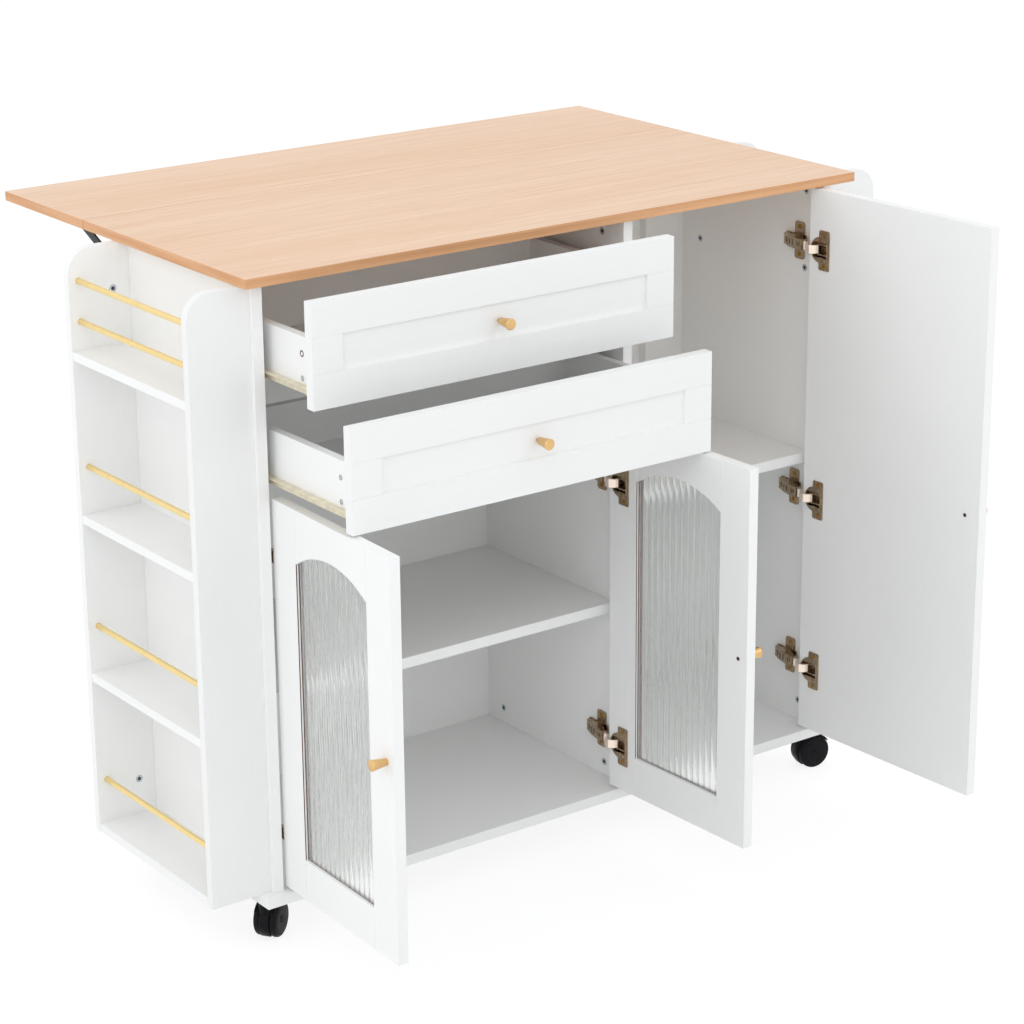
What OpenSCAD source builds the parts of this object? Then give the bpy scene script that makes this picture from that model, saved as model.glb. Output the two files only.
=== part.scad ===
// Kitchen island with a raised drop leaf, drawers, glass doors and end racks.
// Millimetres. +X runs along the width, the front faces -Y, +Z is up.
// The origin lies on the floor, in the middle of the box round the open island.

/* [Carcass] */
// Thickness of the carcass boards, drawer fronts and doors
board = 15; // [12:1:19]
// Clear width of the left bay, which holds the drawers and the glass doors
left_bay_w = 561; // [460:1:680]
// Clear width of the right bay, behind the tall door
right_bay_w = 338; // [280:1:410]
// Depth of the side panels, the back sheet included
side_depth = 322; // [300:1:420]
// Clear height inside the carcass
bay_h = 813; // [760:1:980]
// Height of the bottom board's underside above the floor
floor_gap = 65; // [62:1:70]
// Thickness of the back sheet
back_t = 3; // [3:0.5:5]
// How far the bottom board stands out on the left
ledge_left = 16; // [12:1:24]
// How far the bottom board stands out on the right
ledge_right = 10; // [6:1:20]
// How far the bottom board stands out at the front
ledge_front = 12; // [6:1:20]
// Height of the left bay's shelf top above the bottom board
left_shelf_h = 269; // [200:1:320]
// Height of the right bay's shelf top above the bottom board
right_shelf_h = 419; // [380:1:520]
// Width of the upright battens behind the leaf brackets
batten_w = 70; // [50:1:90]

/* [Worktop] */
// Thickness of the worktop and the leaf
top_t = 13; // [12:0.5:22]
// Overhang of the worktop on the left
top_left = 16; // [8:1:40]
// Overhang of the worktop on the right
top_right = 31; // [16:1:50]
// Overhang of the worktop at the front
top_front = 14; // [6:1:30]
// Overhang of the worktop behind the carcass
top_back = 72; // [60:1:90]
// Depth of the drop leaf
leaf_d = 222; // [200:1:260]
// Open joint between the worktop and the leaf
seam = 1; // [0.8:0.1:2]

/* [Fronts] */
// Gap over and between the fronts
gap = 2.5; // [2:0.5:4]
// Gap beside the fronts
side_gap = 2; // [1.5:0.5:3]
// Gap between the doors and the bottom board
foot_gap = 4; // [3:0.5:8]
// Height of each drawer front
drawer_h = 134.5; // [125:0.5:150]
// Width of the raised rails and stiles on a drawer front
drawer_rail = 44; // [30:1:50]
// Depth of the sunk panel in a drawer front
panel_sink = 4; // [2:0.5:6]
// Width of the lines where the rails and stiles of a front meet
joint_w = 0.8; // [0.5:0.1:1.5]
// Depth of those lines
joint_deep = 0.6; // [0.5:0.1:1.5]
// Width of a glass door's stiles
stile = 54.5; // [48:0.5:65]
// Height of a glass door's bottom rail
bottom_rail = 57; // [45:1:80]
// Height of a glass door's top rail above the crown of the arch
top_rail = 47; // [35:1:70]
// Rise of the arch over the glass
arch_rise = 25; // [15:1:40]
// Thickness of the ribbed glass
glass_t = 4; // [3:0.5:5]
// Angle at which the left glass door stands open
left_door_open = 92; // [85:0.1:100]
// Angle at which the right glass door stands open
right_door_open = 92.3; // [85:0.1:100]
// Angle at which the tall door stands open
tall_door_open = 92.8; // [85:0.1:100]

/* [Drawers] */
// Share of the travel by which the upper drawer is pulled out
drawer_1_share = 0.49; // [0:0.01:1]
// Share of the travel by which the lower drawer is pulled out
drawer_2_share = 0.85; // [0:0.01:1]
// Height of the drawer sides
side_h = 70; // [60:1:85]
// Thickness of the drawer sides and backs
side_t = 12; // [10:1:15]
// Thickness of a drawer bottom
drawer_bottom_t = 3; // [3:0.5:6]
// Space for a slide between the drawer side and the carcass
slide_gap = 12.5; // [12.5:0.5:14]

/* [Knobs and rods] */
// Length of a knob
knob_l = 24; // [18:1:30]
// Radius of a knob's face
knob_r = 8.5; // [6:0.5:12]
// Radius of a knob's foot
knob_foot_r = 5; // [4:0.5:7]
// Diameter of the rack rods and the towel bar
rod_d = 8; // [6:0.5:12]

/* [Spice rack] */
// Depth of the rack, out from the left side panel
rack_depth = 89; // [75:1:120]
// Thickness of the rack boards
rack_t = 12; // [10:1:15]
// Set-back of the rack from the front and back of the side panel
rack_inset = 5.5; // [3:0.5:12]
// Radius of the rack panels' outer top corners
rack_corner = 35; // [20:1:45]
// Heights of the three upper rack shelf tops above the bottom board
rack_shelf_h = [233, 456, 678.5];
// Heights of the rods over the three lower shelves
rod_h = [74, 64, 64];
// Heights of the two rods over the upper shelf
top_rod_h = [38, 92];
// Distance of the rods from the rack's outer edge
rod_inset = 15; // [12:1:30]

/* [Towel rail] */
// Reach of the rail's end boards from the right side panel
rail_reach = 136; // [110:1:150]
// Height of the end boards
rail_h = 120; // [100:1:160]
// Distance of the near end board behind the carcass front
rail_near = 58; // [40:1:80]
// Radius of the end boards' outer corners
rail_corner = 35; // [10:1:45]
// Distance of the end boards' top below the worktop
rail_low = 5; // [1:1:12]
// Distance of the bar from the outer edge
bar_inset = 30; // [25:1:60]
// Distance of the bar below the worktop
bar_drop = 60; // [50:1:85]

/* [Leaf brackets] */
// Distance of each bracket from the carcass side
bracket_in = 50; // [40:1:60]
// Distance from the fold pivot to the strut pivot on the arm
strut_out = 220; // [200:1:225]
// Distance from the fold pivot down to the strut pivot on the wall plate
strut_down = 100; // [90:1:110]

/* [Casters] */
// Wheel radius
wheel_r = 25; // [22:1:26]
// Width of one wheel
wheel_w = 9; // [8:1:12]
// Distances of the swivels from the bottom board's left and right ends
caster_in_x = [20, 14];
// Distance of the swivels from the bottom board's front and back edges
caster_in_y = 41.5; // [36:0.5:50]
// Distance of the axle behind the swivel
trail = 16; // [14:1:20]

/* [Hidden] */
$fn = 48;

// Clearances
run = 0.05;      // round a pin or a screw, on every side
slack = 0.5;     // between faces that move past each other
cut = 1;         // that a cutting shape stands past the face it cuts

// Places along X, from the left side panel's outer face
carcass_w = left_bay_w + right_bay_w + 3 * board;
bay_1 = board;
divider_x = bay_1 + left_bay_w;
bay_2 = divider_x + board;
right_x = bay_2 + right_bay_w;

// Places along Y, from the front edges of the side panels
inner_back = side_depth - back_t;
batten_front = inner_back - board;
shelf_front = board + 2;
back_y = side_depth + top_back;
leaf_front = back_y + seam;
leaf_back = leaf_front + leaf_d;

// Places along Z, from the floor
deck = floor_gap + board;
ceiling = deck + bay_h;
drawer_z = [ceiling - gap - drawer_h, ceiling - 2 * gap - 2 * drawer_h];
door_z = deck + foot_gap;
glass_door_h = drawer_z[1] - gap - door_z;
tall_door_h = ceiling - gap - door_z;

// Widths of the fronts
drawer_w = left_bay_w - 2 * side_gap;
glass_door_w = left_bay_w / 2 - 2 * side_gap;
tall_door_w = right_bay_w - 2 * side_gap;

// Concealed hinges, with u out from the panel and v back from its front edge
pivot_u = 5;                // the line that the door turns about, at v = 0
nose_u = 16;                // the pin that the link turns about
nose_v = 17;
nose_r = 3;
nose_pin_r = 1.2;
cup_in = 21.5;              // the cup's centre from the door's hinge edge
cup_r = 17.5;
cup_bore_r = 16.9;
cup_deep = 11.5;
cup_floor = 1.1;
cheek_t = 2;                // cheeks in the cup, beside the link
cheek_gap = 0.3;
flange_w = 19;
flange_h = 57;
link_t = 2.8;
link_w = 12;
link_end_r = 1.8;
arm_w = 16;
link_path = [[0, 0], [0, -5], [4, -10.5], [11.5, -15], [11.8, -22], [7, -27], [2, -28.5]];
glass_hinges = [66, glass_door_h - 83.5];
tall_hinges = [94, 356, tall_door_h - 85.5];

// Screws
thin_r = 1.8;               // shank
thin_head_r = 3.4;
thin_head_t = 1.2;
flush_head_r = 3.6;
flush_head_t = 2.4;
flush_l = 8;

// Knobs
glass_knob = [glass_door_w - 16.5, 352 - 84];
tall_knob = [tall_door_w - 25.5, 490 - 84];
knob_screw_l = 11;

// Drawers and their slides; the slide sizes run out from the carcass panel
side_l = side_depth - 42;
travel = side_l - 60;
side_lift = 14;             // the drawer side's lower edge above that of the front
groove = 4;
bottom_lift = 5;
slide_t = 1.2;
slide_in = 2;               // the slide behind the front's inner face
run_flange = 9;             // underside of the running flange above the side's lower edge
low_flange = -12;           // underside of the carcass slide's flange
roller_r = 9;
roller_w = 7;
roller_pin_r = 2;
roller_gap = 0.3;           // from a roller down or up to its track
collar_r = 3.4;
front_roller_y = board + 11;
rear_roller_y = board + side_l - 14;

// Leaf brackets
steel = 2;
bracket_x = [bracket_in, carcass_w - bracket_in];
fold_y = side_depth + 13;   // the line that the leaf turns about
fold_z = ceiling - 13;
arm_l = leaf_back - fold_y - 20;
arm_half = 9.5;
plate_half = 12;
web_up = 11;                // arm web above the fold line, under the worktop
web_down = 8;
web_back = 6;               // arm web behind the fold line
pin_r = 3;
strut_w = 12;
strut_t = 3;
strut_end_r = 6;
strut_open = sqrt(pow(strut_out, 2) + pow(strut_down, 2));
long_l = (strut_open + strut_out - strut_down) / 2;
short_l = (strut_open - strut_out + strut_down) / 2;
strut_angle = atan2(strut_down, strut_out);
plate_screws = [-22, -52, -128];
arm_screws = [80, 160, 246];

// Casters
stem_r = 4;
axle_r = 3;
web_half = 8.5;             // half the body between the wheels
web_low = 6;
wheel_gap = 0.4;
hood_in_r = wheel_r + 0.8;
hood_r = wheel_r + 3;
hood_low = 18;
caster_plate_r = 13;
caster_plate_t = 2;
caster_turn = [35, -9, 5, 215];

// The middle of the box round the open island, which is moved to the origin
door_reach = (tall_door_w + side_gap - pivot_u) * sin(tall_door_open);
centre_x = (carcass_w + rail_reach - rack_depth) / 2;
centre_y = (leaf_back - door_reach) / 2;

white = [0.93, 0.93, 0.92];
oak = [0.90, 0.76, 0.64];
brass = [0.83, 0.68, 0.36];
bronze = [0.47, 0.40, 0.33];
silver = [0.75, 0.75, 0.76];
cream = [0.90, 0.85, 0.72];
black = [0.08, 0.08, 0.09];
zinc = [0.72, 0.72, 0.74];
pale_grey = [0.80, 0.80, 0.79];
clear = [0.85, 0.90, 0.88, 0.4];

// ---- shared shapes ----

// Moves a shape from the carcass's own corner to the centred frame
module centred() {
  translate([-centre_x, -centre_y, 0]) children();
}

module block(low, high) {
  translate(low) cube(high - low);
}

// A rod along X, from one end to the other
module rod_x(ends, y, z, r) {
  translate([ends[0], y, z]) rotate([0, 90, 0]) cylinder(h = ends[1] - ends[0], r = r);
}

// A rod along Y, from one end to the other
module rod_y(ends, x, z, r) {
  translate([x, ends[0], z]) rotate([-90, 0, 0]) cylinder(h = ends[1] - ends[0], r = r);
}

// A rod along Z, from one end to the other
module rod_z(ends, x, y, r) {
  translate([x, y, ends[0]]) cylinder(h = ends[1] - ends[0], r = r);
}

// An upright board facing Y, with one rounded upper corner on the side away from x = 0
module wing(x, y, z, w, t, h, r) {
  difference() {
    block([min(x, x + w), y, z], [max(x, x + w), y + t, z + h]);
    wing_corner(x + w, y, z + h, sign(w), t, r);
  }
}

// What is taken off to round that corner
module wing_corner(x, y, z, way, t, r) {
  difference() {
    block([min(x - way * r, x + way), y - cut, z - r], [max(x - way * r, x + way), y + t + cut, z + 1]);
    rod_y([y - 2 * cut, y + t + 2 * cut], x - way * r, z - r, r);
  }
}

// ---- screws that lie flush in a face ----

divider_screws = [[46, ceiling - 24], [side_depth - 40, deck + 23], [40, deck + 20]];
right_screws = [
  [34, ceiling - 15], [34, ceiling - 126], [side_depth - 58, ceiling - 126], [26, deck + 31]
];
rack_screw_x = -25;
rack_screws = [deck + 62, ceiling - 60];

module flush_screw(grow = 0) {
  translate([0, 0, -grow]) cylinder(h = flush_l + 2 * grow, r = thin_r + grow);
  translate([0, 0, -cut * grow / run]) cylinder(h = flush_head_t + cut * grow / run, r = flush_head_r + grow);
}

module divider_screw_set(grow = 0) {
  for (at = divider_screws) {
    translate([divider_x, at[0], at[1]]) rotate([0, 90, 0]) flush_screw(grow);
  }
}

module right_screw_set(grow = 0) {
  for (at = right_screws) {
    translate([right_x, at[0], at[1]]) rotate([0, 90, 0]) flush_screw(grow);
  }
}

module rack_screw_set(grow = 0) {
  for (z = rack_screws) {
    translate([rack_screw_x, side_depth - rack_inset - rack_t, z]) rotate([-90, 0, 0]) flush_screw(grow);
  }
}

module panel_screws() {
  color(zinc) centred() {
    divider_screw_set();
    right_screw_set();
    rack_screw_set();
  }
}

// ---- carcass ----

module bottom_board() {
  color(white) centred() {
    block([-ledge_left, -ledge_front, floor_gap], [carcass_w + ledge_right, side_depth, deck]);
  }
}

module left_side_panel() {
  color(white) centred() difference() {
    block([0, 0, deck], [board, side_depth, ceiling]);
    for (z = glass_hinges) translate([bay_1, 0, door_z + z]) hinge_plate_screws(run);
  }
}

module right_side_panel() {
  color(white) centred() difference() {
    block([right_x, 0, deck], [carcass_w, side_depth, ceiling]);
    right_screw_set(run);
    for (z = tall_hinges) translate([right_x, 0, door_z + z]) mirror([1, 0, 0]) hinge_plate_screws(run);
  }
}

module divider() {
  color(white) centred() difference() {
    block([divider_x, 0, deck], [bay_2, inner_back, ceiling]);
    divider_screw_set(run);
    for (z = glass_hinges) translate([divider_x, 0, door_z + z]) mirror([1, 0, 0]) hinge_plate_screws(run);
  }
}

module back_panel() {
  color(white) centred() difference() {
    block([bay_1, inner_back, deck], [right_x, side_depth, ceiling]);
    plate_screw_set(run);
  }
}

module back_battens() {
  color(white) centred() difference() {
    union() {
      block([bay_1, batten_front, deck], [bay_1 + batten_w, inner_back, ceiling]);
      block([right_x - batten_w, batten_front, deck], [right_x, inner_back, ceiling]);
    }
    plate_screw_set(run);
  }
}

module left_shelf() {
  top = deck + left_shelf_h;
  color(white) centred() difference() {
    block([bay_1, shelf_front, top - board], [divider_x, inner_back, top]);
    block([bay_1 - cut, batten_front, top - board - cut], [bay_1 + batten_w, side_depth, top + cut]);
  }
}

module right_shelf() {
  top = deck + right_shelf_h;
  color(white) centred() difference() {
    block([bay_2, shelf_front, top - board], [right_x, inner_back, top]);
    block([right_x - batten_w, batten_front, top - board - cut], [right_x + cut, side_depth, top + cut]);
  }
}

module main_top() {
  color(oak) centred() {
    block([-top_left, -top_front, ceiling], [carcass_w + top_right, back_y, ceiling + top_t]);
  }
}

// ---- rack on the left end ----

rod_x_at = -rack_depth + rod_inset;
rod_heights = [
  deck + rod_h[0], deck + rack_shelf_h[0] + rod_h[1], deck + rack_shelf_h[1] + rod_h[2],
  deck + rack_shelf_h[2] + top_rod_h[0], deck + rack_shelf_h[2] + top_rod_h[1]
];
rod_seat = 6;
rack_near = rack_inset;
rack_far = side_depth - rack_inset - rack_t;

module rack_rod_set(grow = 0) {
  for (z = rod_heights) {
    rod_y([rack_near + rack_t - rod_seat - grow, rack_far + rod_seat + grow], rod_x_at, z, rod_d / 2 + grow);
  }
}

module rack_front_panel() {
  color(white) centred() difference() {
    wing(0, rack_near, deck, -rack_depth, rack_t, bay_h, rack_corner);
    rack_rod_set(run);
  }
}

module rack_back_panel() {
  color(white) centred() difference() {
    wing(0, rack_far, deck, -rack_depth, rack_t, bay_h, rack_corner);
    rack_rod_set(run);
    rack_screw_set(run);
  }
}

module rack_shelves() {
  color(white) centred() for (h = [rack_t, rack_shelf_h[0], rack_shelf_h[1], rack_shelf_h[2]]) {
    block([1 - rack_depth, rack_near + rack_t, deck + h - rack_t], [0, rack_far, deck + h]);
  }
}

module rack_rods() {
  color(brass) centred() rack_rod_set();
}

// ---- towel rail on the right end ----

rail_y = [rail_near, side_depth - 18];
rail_top = ceiling - rail_low;
rail_bar_x = carcass_w + rail_reach - bar_inset;
bar_ends = [rail_near + rack_t - rod_seat, side_depth - 18 + rod_seat];

module towel_rail_boards() {
  color(white) centred() difference() {
    for (y = rail_y) difference() {
      wing(carcass_w, y, rail_top - rail_h, rail_reach, rack_t, rail_h, rail_corner);
      translate([0, 0, 2 * rail_top - rail_h]) mirror([0, 0, 1]) {
        wing_corner(carcass_w + rail_reach, y, rail_top, 1, rack_t, rail_corner);
      }
    }
    rod_y([bar_ends[0] - run, bar_ends[1] + run], rail_bar_x, ceiling - bar_drop, rod_d / 2 + run);
  }
}

module towel_rail_bar() {
  color(brass) centred() rod_y(bar_ends, rail_bar_x, ceiling - bar_drop, rod_d / 2);
}

// ---- drawers ----

front_x = bay_1 + side_gap;
middle_x = bay_1 + left_bay_w / 2;
drawer_out = [drawer_1_share * travel, drawer_2_share * travel];
side_in = bay_1 + slide_gap;

// Draws a drawer shape twice, at the left and mirrored at the right
module both_sides() {
  children();
  translate([2 * middle_x, 0, 0]) mirror([1, 0, 0]) children();
}

// Moves a drawer's shape from shut, with z from its front's lower edge, to where it stands
module drawn(n) {
  centred() translate([0, -drawer_out[n], drawer_z[n]]) children();
}

module drawer_floor(grow = 0) {
  z = side_lift + bottom_lift;
  x = side_in + side_t - groove;
  block([x, board - groove, z], [2 * middle_x - x, board + side_l - side_t + groove, z + drawer_bottom_t]);
}

module drawer_front(n) {
  color(white) drawn(n) difference() {
    block([front_x, 0, 0], [front_x + drawer_w, board, drawer_h]);
    block([front_x + drawer_rail, -cut, drawer_rail],
          [front_x + drawer_w - drawer_rail, panel_sink, drawer_h - drawer_rail]);
    both_sides() for (z = [drawer_rail, drawer_h - drawer_rail - joint_w]) {
      block([front_x - cut, -cut, z], [front_x + drawer_rail, joint_deep, z + joint_w]);
    }
    drawer_floor();
    knob_hole(middle_x, drawer_h / 2);
  }
}

module drawer_box(n) {
  top = side_lift + side_h;
  color(white) drawn(n) difference() {
    union() {
      both_sides() block([side_in, board, side_lift], [side_in + side_t, board + side_l, top]);
      block([side_in + side_t, board + side_l - side_t, side_lift],
            [2 * middle_x - side_in - side_t, board + side_l, top]);
    }
    drawer_floor();
  }
}

module drawer_bottom(n) {
  color(pale_grey) drawn(n) drawer_floor();
}

module drawer_knob(n) {
  color(brass) drawn(n) knob(middle_x, drawer_h / 2);
}

// The member on the drawer: an angle round the side's lower edge and a running flange
module drawer_slides(n) {
  leg = side_in - slide_t;
  y0 = board + slide_in;
  y1 = board + side_l;
  color(cream) drawn(n) both_sides() translate([0, 0, side_lift]) {
    block([leg, y0, -slide_t], [side_in, y1, run_flange + slide_t]);
    block([leg, y0, -slide_t], [side_in + side_t, y1, 0]);
    block([bay_1 + 3, y0, run_flange], [side_in, y1, run_flange + slide_t]);
    block([leg, rear_roller_y - 7, rear_roller_z - 5], [side_in, rear_roller_y + 7, 0]);
    rod_x([leg - 1, leg], rear_roller_y, rear_roller_z, collar_r);
    rod_x([leg - 9.6, leg], rear_roller_y, rear_roller_z, roller_pin_r);
    rod_x([leg - 9.6, leg - 8.7], rear_roller_y, rear_roller_z, collar_r);
  }
}

// The members on the carcass, each with a front roller's pin
front_roller_z = run_flange - roller_gap - roller_r;
rear_roller_z = low_flange + slide_t + roller_gap + roller_r;

module cabinet_slides() {
  y0 = board + slide_in;
  color(cream) centred() for (n = [0, 1]) both_sides() translate([0, 0, drawer_z[n] + side_lift]) {
    block([bay_1, y0, low_flange], [bay_1 + slide_t, board + side_l, run_flange - 1]);
    block([bay_1, y0, low_flange], [bay_1 + 11, board + side_l, low_flange + slide_t]);
    rod_x([bay_1, bay_1 + 2.3], front_roller_y, front_roller_z, collar_r);
    rod_x([bay_1, bay_1 + 10.7], front_roller_y, front_roller_z, roller_pin_r);
    rod_x([bay_1 + 9.9, bay_1 + 10.7], front_roller_y, front_roller_z, collar_r);
  }
}

module roller(x, y, z) {
  difference() {
    rod_x([x, x + roller_w], y, z, roller_r);
    rod_x([x - cut, x + roller_w + cut], y, z, roller_pin_r + run);
  }
}

module cabinet_rollers(n) {
  color(cream) centred() both_sides() {
    roller(bay_1 + 2.6, front_roller_y, drawer_z[n] + side_lift + front_roller_z);
  }
}

module drawer_rollers(n) {
  color(cream) drawn(n) both_sides() {
    roller(side_in - slide_t - 8.4, rear_roller_y, side_lift + rear_roller_z);
  }
}

// ---- knobs, each with the screw that holds it ----

module knob(x, z) {
  translate([x, 0, z]) rotate([90, 0, 0]) difference() {
    cylinder(h = knob_l, r1 = knob_foot_r, r2 = knob_r);
    translate([0, 0, -cut]) cylinder(h = knob_screw_l + cut + slack, r = thin_r + run);
  }
  knob_screw(x, z);
}

module knob_screw(x, z) {
  rod_y([-knob_screw_l, board + thin_head_t], x, z, thin_r);
  rod_y([board, board + thin_head_t], x, z, thin_head_r);
}

module knob_hole(x, z) {
  rod_y([-cut, board + cut], x, z, thin_r + run);
}

// ---- doors, drawn shut with u out from their panel and z from their lower edge ----

// Swings a shut door's shape open, still at the left of its bay
module swung(angle) {
  translate([pivot_u, 0, door_z]) rotate([0, 0, -angle]) translate([-pivot_u, 0, 0]) children();
}

module at_left() {
  centred() translate([bay_1, 0, 0]) children();
}

module at_divider() {
  centred() translate([divider_x, 0, 0]) mirror([1, 0, 0]) children();
}

module at_right() {
  centred() translate([right_x, 0, 0]) mirror([1, 0, 0]) children();
}

// The arched opening, grown on all sides, between two depths
module arch(grow, ends) {
  half = glass_door_w / 2 - stile;
  u = side_gap + glass_door_w / 2;
  spring = glass_door_h - top_rail - arch_rise;
  r = (pow(half, 2) + pow(arch_rise, 2)) / (2 * arch_rise);
  block([u - half - grow, ends[0], bottom_rail - grow], [u + half + grow, ends[1], spring]);
  intersection() {
    rod_y(ends, u, spring + arch_rise - r, r + grow, $fn = 180);
    block([u - half - grow, ends[0], spring - cut], [u + half + grow, ends[1], glass_door_h]);
  }
}

module hinge_pockets(list, grow = 0) {
  for (z = list) {
    rod_y([board - cup_deep, board + cut], side_gap + cup_in, z, cup_r);
    for (way = [-1, 1]) rod_y([board - 9 - run, board + cut], side_gap + cup_in, z + way * 22.5, thin_r + run);
  }
}

// Lines down both sides of a door's face, over one stretch of its height
module joint_lines(w, heights, depths) {
  for (u = [side_gap + stile, side_gap + w - stile - joint_w]) {
    block([u, depths[0], heights[0]], [u + joint_w, depths[1], heights[1]]);
  }
}

module glass_frame() {
  y = (board - glass_t) / 2;
  spring = glass_door_h - top_rail - arch_rise;
  difference() {
    block([side_gap, 0, 0], [side_gap + glass_door_w, board, glass_door_h]);
    arch(0, [-cut, board + cut]);
    arch(5, [y, y + glass_t]);
    for (heights = [[-cut, bottom_rail + cut], [spring - cut, glass_door_h + cut]]) {
      joint_lines(glass_door_w, heights, [-cut, joint_deep]);
      joint_lines(glass_door_w, heights, [board - joint_deep, board + cut]);
    }
    hinge_pockets(glass_hinges);
    knob_hole(side_gap + glass_knob[0], glass_knob[1]);
  }
}

module glass_pane() {
  y = (board - glass_t) / 2;
  arch(4.5, [y, y + glass_t]);
}

module tall_slab() {
  difference() {
    block([side_gap, 0, 0], [side_gap + tall_door_w, board, tall_door_h]);
    block([side_gap + stile, -cut, stile], [side_gap + tall_door_w - stile, panel_sink, tall_door_h - stile]);
    for (heights = [[-cut, stile + cut], [tall_door_h - stile - cut, tall_door_h + cut]]) {
      joint_lines(tall_door_w, heights, [-cut, joint_deep]);
    }
    hinge_pockets(tall_hinges);
    knob_hole(side_gap + tall_knob[0], tall_knob[1]);
  }
}

// ---- concealed hinges ----

module hinge_plate_screws(grow = 0) {
  for (way = [-1, 1]) rod_x([-9 - grow, cut], 44, way * 20, thin_r + grow);
}

// The part on the panel: a winged plate and an arm with the link's pin across its nose
module hinge_arm() {
  block([0, 34, -27], [2, 54, 27]);
  block([0, 30, -9], [2, 72, 9]);
  hinge_plate_screws();
  for (way = [-1, 1]) rod_x([0, 3.2], 44, way * 20, thin_head_r);
  translate([0, 0, -arm_w / 2]) linear_extrude(arm_w) {
    polygon([[2, 40], [9, 28], [13, 20.6], [19, 20.6], [19, 34], [15, 52], [8, 70], [2, 70]]);
  }
  for (way = [-1, 1]) {
    z = way > 0 ? link_w / 2 + 0.3 : -arm_w / 2;
    rod_z([z, z + arm_w / 2 - link_w / 2 - 0.3], nose_u, nose_v, nose_r);
    block([nose_u - nose_r, nose_v, z], [nose_u + nose_r, 20.6, z + arm_w / 2 - link_w / 2 - 0.3]);
  }
  rod_z([-arm_w / 2, arm_w / 2], nose_u, nose_v, nose_pin_r);
}

module hinge_arms() {
  color(bronze) {
    at_left() for (z = glass_hinges) translate([0, 0, door_z + z]) hinge_arm();
    at_divider() for (z = glass_hinges) translate([0, 0, door_z + z]) hinge_arm();
    at_right() for (z = tall_hinges) translate([0, 0, door_z + z]) hinge_arm();
  }
}

// The part on the door: the cup with a cheek on each side of the link, its flange and two screws
module hinge_cups(list) {
  u = side_gap + cup_in;
  for (z = list) {
    difference() {
      union() {
        rod_y([board - cup_deep, board + 1], u, z, cup_r);
        rod_y([board, board + 1], u, z, cup_r + 1);
        block([u - flange_w / 2, board, z - flange_h / 2], [u + flange_w / 2, board + 1, z + flange_h / 2]);
      }
      rod_y([board - cup_deep + cup_floor, board + 2], u, z, cup_bore_r);
    }
    for (way = [-1, 1]) {
      rod_y([board - 9, board + 1], u, z + way * 22.5, thin_r);
      rod_y([board + 1, board + 1.8], u, z + way * 22.5, thin_head_r);
    }
    for (low = [link_w / 2 + cheek_gap, -link_w / 2 - cheek_gap - cheek_t]) {
      block([u - 14, board - cup_deep + cup_floor, z + low], [u + 14, board - 1.6, z + low + cheek_t]);
    }
  }
}

// How far a bend's corner lies to the left of the path, for a strip of half width 1
function unit(v) = v / norm(v);
function left_of(v) = [-v[1], v[0]];
function step(path, i) = left_of(unit(path[i + 1] - path[i]));
function corner(path, i) =
  let (
    before = step(path, max(i - 1, 0)),
    after = step(path, min(i, len(path) - 2)),
    middle = unit(before + after)
  ) middle / (middle * before);

// The bent link, drawn with its pin's eye at the origin
module hinge_link() {
  last = len(link_path) - 1;
  difference() {
    translate([0, 0, -link_w / 2]) {
      linear_extrude(link_w) polygon(concat(
        [for (i = [0 : last]) link_path[i] + corner(link_path, i) * link_t / 2],
        [for (i = [last : -1 : 0]) link_path[i] - corner(link_path, i) * link_t / 2]
      ));
      cylinder(h = link_w, r = nose_r - 0.2);
      translate([link_path[last][0], link_path[last][1], 0]) cylinder(h = link_w, r = link_end_r);
    }
    rod_z([-link_w / 2 - cut, link_w / 2 + cut], 0, 0, nose_pin_r + run);
  }
}

module hinge_links(list, angle) {
  for (z = list) translate([nose_u, nose_v, door_z + z]) rotate([0, 0, 92 - angle]) hinge_link();
}

module left_door_frame() {
  color(white) at_left() swung(left_door_open) glass_frame();
}

module left_door_glass() {
  color(clear) at_left() swung(left_door_open) glass_pane();
}

module left_door_knob() {
  color(brass) at_left() swung(left_door_open) knob(side_gap + glass_knob[0], glass_knob[1]);
}

module left_door_hinge_cups() {
  color(bronze) at_left() swung(left_door_open) hinge_cups(glass_hinges);
}

module left_door_hinge_links() {
  color(silver) at_left() hinge_links(glass_hinges, left_door_open);
}

module right_door_frame() {
  color(white) at_divider() swung(right_door_open) glass_frame();
}

module right_door_glass() {
  color(clear) at_divider() swung(right_door_open) glass_pane();
}

module right_door_knob() {
  color(brass) at_divider() swung(right_door_open) knob(side_gap + glass_knob[0], glass_knob[1]);
}

module right_door_hinge_cups() {
  color(bronze) at_divider() swung(right_door_open) hinge_cups(glass_hinges);
}

module right_door_hinge_links() {
  color(silver) at_divider() hinge_links(glass_hinges, right_door_open);
}

module tall_door_board() {
  color(white) at_right() swung(tall_door_open) tall_slab();
}

module tall_door_knob() {
  color(brass) at_right() swung(tall_door_open) knob(side_gap + tall_knob[0], tall_knob[1]);
}

module tall_door_hinge_cups() {
  color(bronze) at_right() swung(tall_door_open) hinge_cups(tall_hinges);
}

module tall_door_hinge_links() {
  color(silver) at_right() hinge_links(tall_hinges, tall_door_open);
}

// ---- leaf and its folding brackets, drawn from the fold line ----

module at_brackets() {
  centred() for (x = bracket_x) translate([x, fold_y, fold_z]) children();
}

module plate_screw_set(grow = 0) {
  for (x = bracket_x) for (z = plate_screws) {
    rod_y([inner_back - 9 - grow, side_depth + cut], x, fold_z + z, thin_r + grow);
  }
}

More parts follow.
